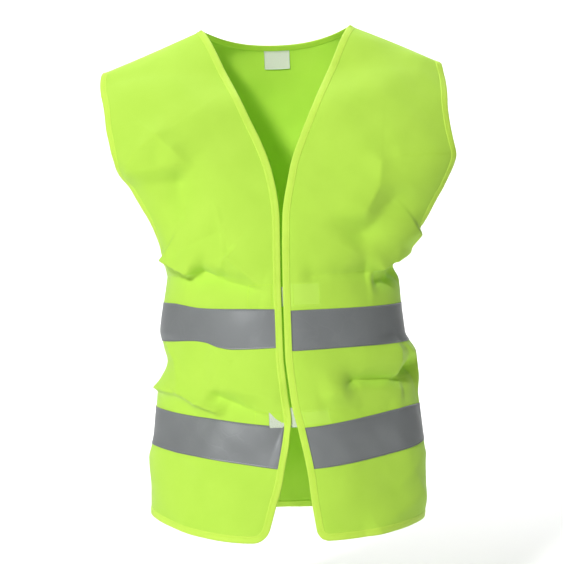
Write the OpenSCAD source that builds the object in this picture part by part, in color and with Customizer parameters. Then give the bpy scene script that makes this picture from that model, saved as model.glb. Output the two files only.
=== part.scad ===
// High visibility vest: sleeveless, V-neck, open down the front.
// +Z is up, the front faces -Y and the wearer's left is +X. The origin is midway between
// the two points where the neckline meets the shoulder seams, which rest on the wearer.
// The left half is modelled and mirrored. Each cloth panel is a surface u (across) by
// v (down): one row of v per hand-placed line of the pattern, each row a cubic curve.

/* [Cloth] */
// Thickness given to the cloth panels
cloth_t = 1; // [0.6:0.1:1.4]
// Thickness of the folded edge binding
binding_t = 1.8; // [1.4:0.1:2.2]
// Width of the edge binding
binding_w = 8; // [5:0.5:10]
// How far the rounding of a front hem corner reaches along the panel's edges
corner_r = 9; // [5:1:30]

/* [Reflective tape] */
// Thickness of the tape
tape_t = 0.4; // [0.2:0.1:0.8]
// Gap between the cloth and the tape
tape_gap = 0.15; // [0.1:0.05:0.3]

/* [Closures] */
// Height of the hook tabs
tab_h = 24; // [16:1:30]
// How far a hook tab reaches beyond the middle of the front
tab_reach = 25; // [15:1:28]
// Thickness of the hook tape and the loop tape
hook_t = 1.2; // [0.8:0.1:1.4]
// Grid columns covered by the patches sewn behind the fronts
patch_columns = 2; // [2:1:3]

/* [Seams] */
// Radius of the side seam rolls, which the fronts turn about
side_seam_r = 0.9; // [0.6:0.1:1]
// Radius of the shoulder seam rolls
shoulder_seam_r = 1; // [0.6:0.1:1.1]
// Clearance where a swinging front meets its fixed shoulder strap
cut_gap = 0.6; // [0.4:0.1:1.2]

/* [Smoothness] */
// Grid steps across half of the body
across = 12; // [8:2:16]
// Grid steps down, from one row of the pattern to the next
down = 4; // [2:1:5]

/* [Hidden] */

// Colours
lime = "#c8f24a";
binding_lime = "#d8f95f";
tape_grey = "#808689";
hook_white = "#dfe6d8";
label_white = "#f2f2ee";

// Rows of the left front, from the shoulder seam to the hem. Each row is
// [inner point, handle there, outer point, handle there], in mm.
front_rows = [
    [[101.5, 3.4, -4.6], [32, 0, -13], [208, 3.4, -49.8], [32, 0, -14]],
    [[72, -42, -63], [45, -4, -8], [211, -14, -72], [45, 14, -18]],
    [[48, -79, -115], [50, -6, -2], [206, -40, -110], [45, 22, -4]],
    [[19, -105, -190], [60, 0, 5.3], [203, -60, -173.7], [38, 30, 3.4]],
    [[10, -114, -248], [60, 0, 2], [170, -57, -240], [24, 38, -3]],
    [[9.5, -116, -290], [60, 0, 0], [157, -34, -294], [6, 50, -6]],
    [[9.5, -117, -320], [60, 0, 0], [152.7, -1.4, -314.5], [0, 62, 0]],
    [[9.5, -119, -400], [60, 0, 0], [160.3, -1.4, -400], [0, 62, 0]],
    [[9.5, -120, -480], [60, 0, 0], [166.1, -1.4, -466], [0, 62, 0]],
    [[24, -122, -556], [50, 0, 0], [173.2, -1.4, -546], [0, 62, 0]],
    [[39, -124, -632], [44, 0, 0], [180.6, -1.4, -630], [0, 62, 0]]
];
// Rows of the left half of the back, from the middle to the armhole and the side.
back_rows = [
    [[0, 64, -22], [55, 0, 0], [208, 6.6, -49.8], [32, 0, -14]],
    [[0, 82, -66], [60, 0, 0], [212, 20, -74], [45, -16, -18]],
    [[0, 98, -118], [62, 0, 0], [207, 44, -114], [42, -24, -4]],
    [[0, 106, -186], [66, 0, 0], [203, 58, -178], [36, -32, 2]],
    [[0, 108, -246], [64, 0, 0], [172, 58, -242], [24, -40, -3]],
    [[0, 107, -290], [62, 0, 0], [157, 34, -294], [6, -50, -6]],
    [[0, 105, -320], [62, 0, 0], [152.7, 1.4, -314.5], [0, -60, 0]],
    [[0, 100, -400], [66, 0, 0], [160.3, 1.4, -400], [0, -58, 0]],
    [[0, 102, -468], [70, 0, 0], [166.1, 1.4, -466], [0, -60, 0]],
    [[0, 107, -548], [74, 0, 0], [173.2, 1.4, -546], [0, -62, 0]],
    [[0, 112, -632], [76, 0, 0], [180.6, 1.4, -630], [0, -64, 0]]
];
// Row where the armhole ends and the side seam begins
underarm_row = 6;
// Row along which a front parts into its fixed strap and its swinging panel
cut_row = 3;
// Lowest row
hem_row = len(front_rows) - 1;
// Distance in v that gives the clearance at the cut
cut_step = cut_gap / 58;
// Share of the back's top edge taken by half of the neckline
neck_share = 0.5;
// Point where the neckline meets the shoulder seam, on the back panel
neck_point = [101.5, 6.6, -4.6];
// Handle of the back neckline at that point
neck_handle = [22, -30, 9];

// Rows v between which each tape and patch lies
upper_tape = [6.5, 7.06];
lower_tape = [8.25, 8.9];
upper_patch = [6.06, 6.46];
lower_patch = [8, 8.27];
// Thickness of the neck label
label_t = 0.4;

// Ends of the left side seam, which is also the axis that the front swings about
side_top = [152, 0, -306];
side_bottom = [181, 0, -634];
// Ends of the left shoulder seam
shoulder_in = [103, 5, -4.2];
shoulder_out = [207, 5, -48.2];

// Middle of the fold of each tab, which its free end peels about
upper_fold = [8.6, -115.2, -342];
lower_fold = [8.6, -117.9, -489];
// How far back the tip of a tab leans from its fold
tab_lean = 3.2;

// Step used to measure the directions of a surface
nudge = 0.02;

// ---- Curves and surfaces -------------------------------------------------------------

// Point at share t of the cubic curve with ends a and d and handles b and c
function cubic(a, b, c, d, t) =
    a * pow(1 - t, 3) + 3 * b * pow(1 - t, 2) * t + 3 * c * (1 - t) * t * t + d * pow(t, 3);

// Tangent at b of a curve through a, b and c that never overshoots them
function steady(a, b, c) = [
    for (k = [0:2])
        let (p = b[k] - a[k], q = c[k] - b[k])
        p * q <= 0 ? 0 : 2 * p * q / (p + q)
];

// Tangent at point i of a list, one-sided at its ends
function tangent(points, i) =
    i == 0 ? points[1] - points[0]
    : i == len(points) - 1 ? points[i] - points[i - 1]
    : steady(points[i - 1], points[i], points[i + 1]);

// Point at place v (0 = first, 1 = second, ...) along a list
function along(points, v) =
    let (
        i = max(0, min(len(points) - 2, floor(v))),
        t = v - i,
        a = points[i],
        b = points[i + 1]
    )
    cubic(a, a + tangent(points, i) / 3, b - tangent(points, i + 1) / 3, b, t);

// Items first to last of a list
function part_of(list, first, last) = [for (i = [first:last]) list[i]];

// The same, where the list turns a corner at item k
function along_corner(points, k, v) =
    v < k ? along(part_of(points, 0, k), v)
    : along(part_of(points, k, len(points) - 1), v - k);

// One column of a list of rows
function column(rows, k) = [for (row = rows) row[k]];

// Point of the surface that a list of rows describes
function row_surface(rows, u, v) =
    let (
        a = along(column(rows, 0), v),
        d = along_corner(column(rows, 2), underarm_row, v)
    )
    cubic(a, a + along(column(rows, 1), v), d - along(column(rows, 3), v), d, u);

// Pulls a square corner at a distance (d, h) towards a round one
function corner_pull(d, h) =
    let (f = max(0, 1 - d / corner_r) * max(0, 1 - h / corner_r))
    corner_r / 4 * f * f;

// Left front panel, with the rounded hem corner
function front_surface(u, v) =
    let (
        p = row_surface(front_rows, u, v),
        hem = row_surface(front_rows, u, hem_row),
        edge = row_surface(front_rows, 0, v),
        pull = corner_pull(norm(p - edge), norm(hem - p))
    )
    p + [pull, 0, pull];

// Top edge of the left half of the back: half of the neckline, then the shoulder
function back_top(u) =
    let (first = back_rows[0])
    u < neck_share
    ? cubic(first[0], first[0] + first[1], neck_point - neck_handle, neck_point, u / neck_share)
    : neck_point + (first[2] - neck_point) * (u - neck_share) / (1 - neck_share);

// Back panel, for u from -1 (right) to 1 (left)
function back_surface(u, v) =
    let (
        side = u < 0 ? -1 : 1,
        w = abs(u),
        low = row_surface(back_rows, w, max(v, 1)),
        slope = (row_surface(back_rows, w, 1 + nudge) - low) / nudge,
        top = back_top(w),
        p = v >= 1 ? low
            : cubic(top, top + (low - top) / 3, low - slope / 3, low, v)
    )
    [side * p[0], p[1], p[2]];

// A surface by name: "front" or "back"
function surface_point(which, u, v) =
    which == "front" ? front_surface(u, v) : back_surface(u, v);

function unit(a) = a / norm(a);

// Direction across a surface, and direction down it
function across_at(which, u, v) =
    surface_point(which, u + nudge, v) - surface_point(which, u - nudge, v);
function down_at(which, u, v) =
    surface_point(which, u, min(hem_row, v + nudge)) - surface_point(which, u, max(0, v - nudge));

// Direction straight out of the cloth, away from the wearer
function outward(which, u, v) =
    let (n = unit(cross(across_at(which, u, v), down_at(which, u, v))))
    which == "front" ? -n : n;

// ---- Solids --------------------------------------------------------------------------

// Evenly spaced values from a to b in n steps
function spread(a, b, n) = [for (i = [0:n]) a + (b - a) * i / n];

// Closed solid between an outer grid of points and an inner one, both [row][column]
module skin(outer, inner) {
    rows = len(outer);
    cols = len(outer[0]);
    half = rows * cols;
    points = concat([for (r = outer) each r], [for (r = inner) each r]);
    cells = [for (i = [0:rows - 2]) for (j = [0:cols - 2]) i * cols + j];
    rim = concat(
        [for (j = [0:cols - 2]) [j + 1, j]],
        [for (i = [0:rows - 2]) [i * cols, (i + 1) * cols]],
        [for (j = [0:cols - 2]) [(rows - 1) * cols + j, (rows - 1) * cols + j + 1]],
        [for (i = [0:rows - 2]) [(i + 2) * cols - 1, (i + 1) * cols - 1]]
    );
    faces = concat(
        [for (k = cells) each [[k, k + 1, k + cols], [k + 1, k + cols + 1, k + cols]]],
        [for (k = cells) each [
            [half + k, half + k + cols, half + k + 1],
            [half + k + 1, half + k + cols, half + k + cols + 1]
        ]],
        [for (e = rim) each [
            [e[0], e[1], half + e[1]],
            [e[0], half + e[1], half + e[0]]
        ]]
    );
    polyhedron(points, faces, convexity = 10);
}

// Grid of points at a height above a surface, over lists of u and v
function lifted(which, us, vs, height) = [
    for (v = vs) [
        for (u = us) surface_point(which, u, v) + outward(which, u, v) * height
    ]
];

// Layer on a surface, between two heights above its middle
module layer(which, us, vs, low, high) {
    // The front's grid runs the same way as the back's, seen from behind
    a = lifted(which, us, vs, which == "front" ? low : high);
    b = lifted(which, us, vs, which == "front" ? high : low);
    skin(b, a);
}

// Direction out of the panel where a strip ends, or undef where it runs on. Strips meet
// along the seams, along the cut across a front and on the diagonal of a hem corner.
function end_direction(which, u, v) =
    let (shoulder = unit(shoulder_out - shoulder_in))
    v == 0 && which == "back" && abs(u) == neck_share ? [-sign(u) * shoulder[0], 0, -shoulder[2]]
    : v == 0 && abs(u) == 1 ? shoulder
    : v == 0 && which == "front" && u == 0 ? -shoulder
    : v == underarm_row && u == 1 ? unit(side_top - side_bottom)
    : v == cut_row || v == cut_row + cut_step ? unit(across_at(which, u, v)) * (u == 0 ? -1 : 1)
    : v == hem_row && which == "front" && u == 0
    ? unit(unit(down_at(which, u, v)) - unit(across_at(which, u, v)))
    : undef;

// Direction out of the panel at place i of a path along its edge
function side_direction(which, places, points, normals, turn, i) =
    let (
        end = i == 0 || i == len(points) - 1 ? end_direction(which, places[i][0], places[i][1]) : undef,
        run = points[min(len(points) - 1, i + 1)] - points[max(0, i - 1)]
    )
    is_undef(end) ? unit(cross(run, normals[i])) * turn : end;

// Strip of binding outside the edge of a panel. places lists [u, v] along the edge. turn is
// 1 where the panel lies to the left of that path, seen from outside the vest, or else -1.
module edge_strip(which, places, turn) {
    index = [0:len(places) - 1];
    height = binding_t / 2;
    points = [for (p = places) surface_point(which, p[0], p[1])];
    normals = [for (p = places) outward(which, p[0], p[1])];
    sides = [for (i = index) side_direction(which, places, points, normals, turn, i)];
    rims = [for (i = index) points[i] + sides[i] * binding_w];
    outer = [for (i = index) [points[i] + normals[i] * height, rims[i] + normals[i] * height]];
    inner = [for (i = index) [points[i] - normals[i] * height, rims[i] - normals[i] * height]];
    if (turn > 0) skin(inner, outer);
    else skin(outer, inner);
}

// Round roll from a to b
module roll(a, b, r) {
    d = b - a;
    translate(a)
        rotate([0, acos(d[2] / norm(d)), atan2(d[1], d[0])])
            cylinder(h = norm(d), r = r, $fn = 32);
}

// Draws its children on the wearer's right instead of the left
module on_right() {
    mirror([1, 0, 0]) children();
}

// ---- Cloth ---------------------------------------------------------------------------

half_steps = spread(0, 1, across);
full_steps = spread(-1, 1, 2 * across);

// Values of v from one row to another
function rows_between(a, b) = spread(a, b, max(1, round((b - a) * down)));

module back_panel() {
    color(lime)
        layer("back", full_steps, rows_between(0, hem_row), -cloth_t / 2, cloth_t / 2);
}

// Fixed shoulder end of the left front
module front_strap() {
    color(lime)
        layer("front", half_steps, rows_between(0, cut_row), -cloth_t / 2, cloth_t / 2);
}

// Swinging part of the left front
module front_panel() {
    color(lime)
        layer("front", half_steps, rows_between(cut_row + cut_step, hem_row), -cloth_t / 2, cloth_t / 2);
}

// ---- Bindings ------------------------------------------------------------------------

// Places along the left front's inner edge and armhole edge, and along the hem
function inner_edge(a, b) = [for (v = rows_between(a, b)) [0, v]];
function outer_edge(a, b) = [for (v = rows_between(a, b)) [1, v]];
function hem_edge(us) = [for (u = us) [u, hem_row]];

module back_neck_binding() {
    us = [for (u = full_steps) if (abs(u) <= neck_share) u];
    color(binding_lime) edge_strip("back", [for (u = us) [u, 0]], 1);
}

module strap_neck_binding() {
    color(binding_lime) edge_strip("front", inner_edge(0, cut_row), 1);
}

module front_edge_binding() {
    color(binding_lime) edge_strip("front", inner_edge(cut_row + cut_step, hem_row), 1);
}

module back_hem_binding() {
    color(binding_lime) edge_strip("back", hem_edge(full_steps), -1);
}

module hem_binding() {
    color(binding_lime) edge_strip("front", hem_edge(half_steps), 1);
}

// Binding of the back of the armhole and of the shoulder strap
module armhole_binding() {
    color(binding_lime) {
        edge_strip("back", outer_edge(0, underarm_row), 1);
        edge_strip("front", outer_edge(0, cut_row), -1);
    }
}

// Binding of the swinging part of the armhole
module front_armhole_binding() {
    color(binding_lime) edge_strip("front", outer_edge(cut_row + cut_step, underarm_row), -1);
}

// ---- Reflective tape -----------------------------------------------------------------

tape_low = cloth_t / 2 + tape_gap;

module tape(which, us, rows) {
    color(tape_grey) layer(which, us, rows_between(rows[0], rows[1]), tape_low, tape_low + tape_t);
}

// ---- Closures ------------------------------------------------------------------------

// Gap between the cloth and what is sewn behind it
sewn_gap = 0.15;
// Places across a patch: they fall on the grid of the cloth
patch_steps = [0.01, 1 / across, patch_columns / across];

patch_high = cloth_t / 2 + sewn_gap;

// Patch sewn on the inner face of a front, between rows
module inner_patch(rows, thickness) {
    color(hook_white)
        layer("front", patch_steps, spread(rows[0], rows[1], 2), -patch_high - thickness, -patch_high);
}

// Free end of a hook tab, closed: from its fold it reaches behind the other front
module hook_tab(fold) {
    fold_r = hook_t / 2;
    tip_x = -fold[0] - tab_reach;
    color(hook_white)
        translate([fold[0], fold[1], fold[2] - tab_h / 2]) {
            cylinder(h = tab_h, r = fold_r, $fn = 32);
            linear_extrude(tab_h)
                polygon([
                    [0, -fold_r],
                    [0, fold_r],
                    [tip_x, tab_lean + fold_r],
                    [tip_x, tab_lean - fold_r]
                ]);
        }
}

// ---- Seams and label -----------------------------------------------------------------

module side_seam() {
    color(lime) roll(side_top, side_bottom, side_seam_r);
}

module shoulder_seam() {
    color(lime) roll(shoulder_in, shoulder_out, shoulder_seam_r);
}

// Blank label hanging inside the back of the neck
module neck_label() {
    us = spread(-1 / across, 1 / across, 2);
    vs = spread(0.05, 0.6, 3);
    color(label_white) layer("back", us, vs, -patch_high - label_t, -patch_high);
}

// ---- Assembly ------------------------------------------------------------------------

back_panel();
front_strap();  // left_front_strap
on_right() front_strap();  // right_front_strap
front_panel();  // left_front_panel
on_right() front_panel();  // right_front_panel
back_neck_binding();
strap_neck_binding();  // left_strap_neck_binding
on_right() strap_neck_binding();  // right_strap_neck_binding
front_edge_binding();  // left_front_edge_binding
on_right() front_edge_binding();  // right_front_edge_binding
back_hem_binding();
hem_binding();  // left_hem_binding
on_right() hem_binding();  // right_hem_binding
armhole_binding();  // left_armhole_binding
on_right() armhole_binding();  // right_armhole_binding
front_armhole_binding();  // left_front_armhole_binding
on_right() front_armhole_binding();  // right_front_armhole_binding
tape("back", full_steps, upper_tape);  // upper_back_tape
tape("front", half_steps, upper_tape);  // upper_left_tape
on_right() tape("front", half_steps, upper_tape);  // upper_right_tape
tape("back", full_steps, lower_tape);  // lower_back_tape
tape("front", half_steps, lower_tape);  // lower_left_tape
on_right() tape("front", half_steps, lower_tape);  // lower_right_tape
inner_patch(upper_patch, hook_t);  // upper_tab_anchor
inner_patch(lower_patch, hook_t);  // lower_tab_anchor
hook_tab(upper_fold);  // upper_hook_tab
hook_tab(lower_fold);  // lower_hook_tab
on_right() inner_patch(upper_patch, 1);  // upper_loop_patch
on_right() inner_patch(lower_patch, 1);  // lower_loop_patch
side_seam();  // left_side_seam
on_right() side_seam();  // right_side_seam
shoulder_seam();  // left_shoulder_seam
on_right() shoulder_seam();  // right_shoulder_seam
neck_label();
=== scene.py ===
"""High visibility vest: the finished look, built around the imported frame.

Everything is in metres in the frame's own axes: +Z is up, the front faces -Y and the
wearer's left is +X. The origin lies midway between the two points where the neckline
meets the shoulder seams. The cloth, bindings, bands and stitches all come from one
worn surface, so that they share its folds.
"""
import logging
import math
from dataclasses import dataclass
from enum import Enum

import bpy
import numpy as np
from mathutils import Matrix, Vector


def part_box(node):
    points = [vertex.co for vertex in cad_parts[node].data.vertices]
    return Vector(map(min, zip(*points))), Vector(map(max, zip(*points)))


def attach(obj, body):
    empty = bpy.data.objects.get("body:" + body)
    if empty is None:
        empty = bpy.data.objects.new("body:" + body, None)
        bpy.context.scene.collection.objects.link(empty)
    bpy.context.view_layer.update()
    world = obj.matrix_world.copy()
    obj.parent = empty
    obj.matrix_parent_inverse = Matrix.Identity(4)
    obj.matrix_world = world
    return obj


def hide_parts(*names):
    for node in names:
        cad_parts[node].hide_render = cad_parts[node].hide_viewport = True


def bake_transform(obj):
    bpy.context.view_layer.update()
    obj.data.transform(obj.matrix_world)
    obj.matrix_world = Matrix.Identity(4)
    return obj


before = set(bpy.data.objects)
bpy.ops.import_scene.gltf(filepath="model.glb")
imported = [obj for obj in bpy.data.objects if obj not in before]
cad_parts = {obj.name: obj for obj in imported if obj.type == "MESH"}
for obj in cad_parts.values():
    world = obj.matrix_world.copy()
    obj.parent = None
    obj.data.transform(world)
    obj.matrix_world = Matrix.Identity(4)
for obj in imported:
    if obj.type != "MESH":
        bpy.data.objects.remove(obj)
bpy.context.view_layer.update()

LOG = logging.getLogger("vest")
MM = 0.001
Pair = tuple[float, float]
Triple = tuple[float, float, float]


class Part(Enum):
    """A cut of cloth, named for the wearer's side."""

    LEFT = "left"
    RIGHT = "right"
    BACK = "back"


# ---------------------------------------------------------------- the worn surface


@dataclass(frozen=True)
class Row:
    """One line of the pattern from its inner end to its outer end, in millimetres."""

    inner: Triple
    inner_handle: Triple
    outer: Triple
    outer_handle: Triple


FRONT_ROWS = (
    Row((101.5, 4.6, -4.4), (32, 0, -13), (208, 4.6, -49.6), (32, 0, -14)),
    Row((72, -42, -63), (45, -4, -8), (211, -14, -72), (45, 14, -18)),
    Row((48, -79, -115), (50, -6, -2), (206, -40, -110), (45, 22, -4)),
    Row((19, -105, -190), (60, 0, 5.3), (203, -60, -173.7), (38, 30, 3.4)),
    Row((10, -114, -248), (60, 0, 2), (170, -57, -240), (24, 38, -3)),
    Row((9.5, -116, -290), (60, 0, 0), (157, -34, -294), (6, 50, -6)),
    Row((9.5, -117, -320), (60, 0, 0), (152.7, -0.4, -314.5), (0, 62, 0)),
    Row((9.5, -119, -400), (60, 0, 0), (160.3, -0.4, -400), (0, 62, 0)),
    Row((9.5, -120, -480), (60, 0, 0), (166.1, -0.4, -466), (0, 62, 0)),
    Row((24, -122, -556), (50, 0, 0), (173.2, -0.4, -546), (0, 62, 0)),
    Row((39, -124, -632), (44, 0, 0), (180.6, -0.4, -630), (0, 62, 0)),
)
BACK_ROWS = (
    Row((0, 64, -22), (55, 0, 0), (208, 5.4, -49.6), (32, 0, -14)),
    Row((0, 82, -66), (60, 0, 0), (212, 20, -74), (45, -16, -18)),
    Row((0, 98, -118), (62, 0, 0), (207, 44, -114), (42, -24, -4)),
    Row((0, 106, -186), (66, 0, 0), (203, 58, -178), (36, -32, 2)),
    Row((0, 108, -246), (64, 0, 0), (172, 58, -242), (24, -40, -3)),
    Row((0, 107, -290), (62, 0, 0), (157, 34, -294), (6, -50, -6)),
    Row((0, 105, -320), (62, 0, 0), (152.7, 0.4, -314.5), (0, -60, 0)),
    Row((0, 100, -400), (66, 0, 0), (160.3, 0.4, -400), (0, -58, 0)),
    Row((0, 102, -468), (70, 0, 0), (166.1, 0.4, -466), (0, -60, 0)),
    Row((0, 107, -548), (74, 0, 0), (173.2, 0.4, -546), (0, -62, 0)),
    Row((0, 112, -632), (76, 0, 0), (180.6, 0.4, -630), (0, -64, 0)),
)
UNDERARM_ROW = 6
HEM_ROW = len(FRONT_ROWS) - 1
NECK_SHARE = 0.5
NECK_POINT = np.array((101.5, 5.4, -4.4)) * MM
NECK_HANDLE = np.array((22, -30, 9)) * MM
CORNER_RADIUS = {Part.RIGHT: 11 * MM, Part.LEFT: 7 * MM}


@dataclass(frozen=True)
class Fold:
    """A ridge, or a valley where rise is negative, along a line on the front view, in mm.

    left and right are how far it reaches on each side of somebody walking along the
    line, seen from the front. ends is the length over which it fades at each end, and
    crest the radius of its top.
    """

    line: tuple[Pair, ...]
    rise: float
    left: float
    right: float
    ends: Pair = (25, 25)
    crest: float = 3.0


RIGHT_FOLDS = (
    Fold(((-205, -196), (-176, -163), (-148, -143), (-132, -159), (-108, -182)), 12, 26, 36, (30, 34), 2),
    Fold(((-134, -176), (-130, -215), (-123, -255), (-116, -292)), -14, 18, 44, (24, 80), 8),
    Fold(((-84, -215), (-76, -246), (-72, -283), (-78, -314)), 1.8, 3, 10, (30, 10), 0.8),
    Fold(((-146, -288), (-86, -263), (-69, -259)), -4, 14, 16, (12, 12), 2),
    Fold(((-72, -288), (-49, -310), (-18, -340)), 6, 14, 8, (6, 14), 1),
    Fold(((-156, -288), (-132, -302), (-106, -315)), 11, 16, 2.5, (4, 18), 0.8),
    Fold(((-120, -309), (-78, -320), (-14, -338)), -12, 11, 18, (18, 14), 1.2),
    Fold(((-155, -392), (-142, -430), (-128, -460)), 3, 3, 12, (20, 10), 1),
    Fold(((-166, -455), (-130, -460), (-111, -471), (-80, -486)), 12, 16, 4, (6, 16), 1),
    Fold(((-106, -454), (-71, -455), (-37, -460), (-4, -472)), 4, 26, 10, (20, 20), 2.5),
    Fold(((-100, -458), (-50, -480), (-4, -500)), -12, 11, 22, (14, 10), 1.2),
    Fold(((-97, -402), (-64, -421)), 2, 6, 14, (8, 10), 1.5),
    Fold(((-206, -560), (-137, -535), (-75, -562)), 6, 26, 24, (30, 40), 5),
    Fold(((-150, -640), (-92, -604), (-40, -590)), 3, 34, 30, (30, 40), 8),
)
LEFT_FOLDS = (
    Fold(
        ((222, -172), (143, -177), (120, -183), (116, -210), (101, -240), (89, -269)),
        14, 44, 50, (4, 34), 2,
    ),
    Fold(((152, -206), (124, -240), (103, -268), (86, -292)), -13, 30, 24, (34, 34), 8),
    Fold(((176, -281), (146, -300), (108, -319)), 15, 3, 20, (6, 24), 1.2),
    Fold(((19, -318), (67, -317), (114, -319)), -5, 12, 16, (20, 10), 1),
    Fold(((108, -328), (134, -326), (158, -317)), -10, 14, 12, (16, 10), 2),
    Fold(((62, -464), (84, -449), (141, -451), (168, -436)), -19, 14, 20, (34, 4), 1),
    Fold(((139, -394), (140, -430), (141, -454)), 7, 6, 16, (24, 10), 2),
    Fold(((34, -463), (93, -460), (152, -466)), 5, 14, 12, (20, 10), 3),
    Fold(((30, -480), (74, -482), (140, -489)), -3, 13, 14, (16, 16), 4),
    Fold(((150, -540), (110, -560), (60, -566)), -3.5, 34, 34, (30, 40), 8),
    Fold(((178, -598), (130, -620), (90, -640)), 4, 22, 24, (10, 20), 5),
    Fold(((176, -545), (150, -572), (128, -590)), 2, 12, 14, (10, 20), 3),
)
BACK_FOLDS = (
    Fold(((-170, -130), (-90, -200), (-40, -290)), 5, 34, 40, (40, 60), 8),
    Fold(((170, -130), (95, -205), (45, -300)), 5, 40, 34, (40, 60), 8),
    Fold(((-120, -110), (0, -150), (120, -110)), -4, 45, 50, (60, 60), 12),
    Fold(((-150, -335), (-70, -352), (20, -346), (150, -330)), 4, 16, 8, (30, 30), 3),
    Fold(((-150, -428), (-60, -444), (40, -436), (150, -428)), 5, 18, 10, (20, 20), 3),
    Fold(((-150, -456), (-40, -468), (60, -460), (150, -452)), 4, 16, 9, (20, 30), 3),
    Fold(((-60, -500), (-72, -570), (-90, -640)), 5, 32, 26, (50, 10), 8),
    Fold(((70, -490), (84, -570), (96, -640)), 5, 26, 32, (50, 10), 8),
    Fold(((0, -520), (4, -580), (2, -640)), -5, 30, 30, (50, 10), 8),
)
FOLDS = {Part.RIGHT: RIGHT_FOLDS, Part.LEFT: LEFT_FOLDS, Part.BACK: BACK_FOLDS}


@dataclass(frozen=True)
class Shift:
    """How far an edge of the worn vest lies from the pattern's at one height, in mm."""

    height: float
    edge: float
    push: float
    lift: float = 0.0


SIDE_SHIFTS = {
    -1: (
        Shift(-20, 208, 5), Shift(-56, 208, 9), Shift(-100, 209, 6), Shift(-125, 206, 5),
        Shift(-145, 204, 1), Shift(-174, 203, -4), Shift(-200, 196, -3), Shift(-230, 178, 0),
        Shift(-258, 166, -3), Shift(-280, 160, -5), Shift(-306, 154, -3), Shift(-345, 155, 0),
        Shift(-384, 158, 3), Shift(-404, 160, -3), Shift(-424, 162, -9), Shift(-444, 164, -3),
        Shift(-466, 166, 3), Shift(-520, 171, 3, 2), Shift(-580, 176, 4, 9), Shift(-640, 181, 1, 20),
    ),
    1: (
        Shift(-20, 208, -3), Shift(-56, 208, -6), Shift(-100, 209, -3), Shift(-125, 206, -2),
        Shift(-160, 203, 0), Shift(-190, 200, 2), Shift(-215, 188, 8), Shift(-240, 174, 12),
        Shift(-268, 164, 6), Shift(-288, 158, -9), Shift(-309, 153, -14), Shift(-330, 154, -7),
        Shift(-370, 157, -8), Shift(-396, 160, -8), Shift(-424, 162, 4), Shift(-450, 164, 4),
        Shift(-480, 167, 0), Shift(-540, 173, 0), Shift(-600, 178, -5), Shift(-640, 181, -12, 3),
    ),
}
SIDE_REACH_IN = 60.0
EDGE_SHIFTS = {
    Part.RIGHT: (
        Shift(-20, 0, 0), Shift(-200, 0, 0), Shift(-244, 0, -1.5), Shift(-300, 0, -3),
        Shift(-341, 0, -3.5), Shift(-407, 0, -3.5), Shift(-467, 0, 1), Shift(-505, 0, 5.5),
        Shift(-563, 0, 7), Shift(-593, 0, 4), Shift(-640, 0, -1),
    ),
    Part.LEFT: (
        Shift(-20, 0, 0), Shift(-200, 0, -1), Shift(-244, 0, -2.5), Shift(-300, 0, -4),
        Shift(-341, 0, -4.5), Shift(-407, 0, -4.5), Shift(-467, 0, 0.5), Shift(-505, 0, 6),
        Shift(-563, 0, 3), Shift(-593, 0, 0), Shift(-640, 0, -2.5),
    ),
}
FOLD_FADE = 16 * MM
CLOSURE_REACH = (46 * MM, 20 * MM)
CLOSURE_HEIGHTS = (-342 * MM, -489 * MM)


def ease(t: np.ndarray) -> np.ndarray:
    """Returns 0 below 0 and 1 above 1, with a smooth climb between: 3 t^2 - 2 t^3."""
    t = np.clip(t, 0, 1)
    return t * t * (3 - 2 * t)


def unit(a: np.ndarray) -> np.ndarray:
    """Returns vectors divided by their lengths."""
    return a / np.maximum(np.linalg.norm(a, axis=-1, keepdims=True), 1e-12)


def through(points: np.ndarray, v: np.ndarray, corner: int | None = None) -> np.ndarray:
    """Reads a smooth line through points, one unit of v apart.

    Each stretch is a cubic in Hermite form. The slope at a point is the harmonic mean of
    the steps before and after it, or zero where they disagree, so nothing overshoots.

    Args:
        points: the points, one row each.
        v: where to read, 0 at the first point.
        corner: a point where the line may turn sharply, if any.

    Returns:
        One point for each v.
    """
    step = np.diff(points, axis=0)
    before, after = step[:-1], step[1:]
    agree = before * after > 0
    total = np.where(agree, before + after, 1)
    inside = np.where(agree, 2 * before * after / total, 0)
    leave = np.vstack([step[:1], inside, step[-1:]])
    arrive = leave.copy()
    if corner is not None:
        arrive[corner] = step[corner - 1]
        leave[corner] = step[corner]
    i = np.clip(np.floor(v), 0, len(points) - 2).astype(int)
    t = (v - i)[..., None]
    a, b = points[i], points[i + 1]
    return (
        a * (1 + 2 * t) * (1 - t) ** 2
        + leave[i] * t * (1 - t) ** 2
        + b * t * t * (3 - 2 * t)
        + arrive[i + 1] * t * t * (t - 1)
    )


def cubic(a: np.ndarray, b: np.ndarray, c: np.ndarray, d: np.ndarray, t: np.ndarray) -> np.ndarray:
    """Returns the Bezier cubic with ends a and d and handles b and c, at share t."""
    t = t[..., None]
    return a * (1 - t) ** 3 + 3 * b * t * (1 - t) ** 2 + 3 * c * t * t * (1 - t) + d * t**3


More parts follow.
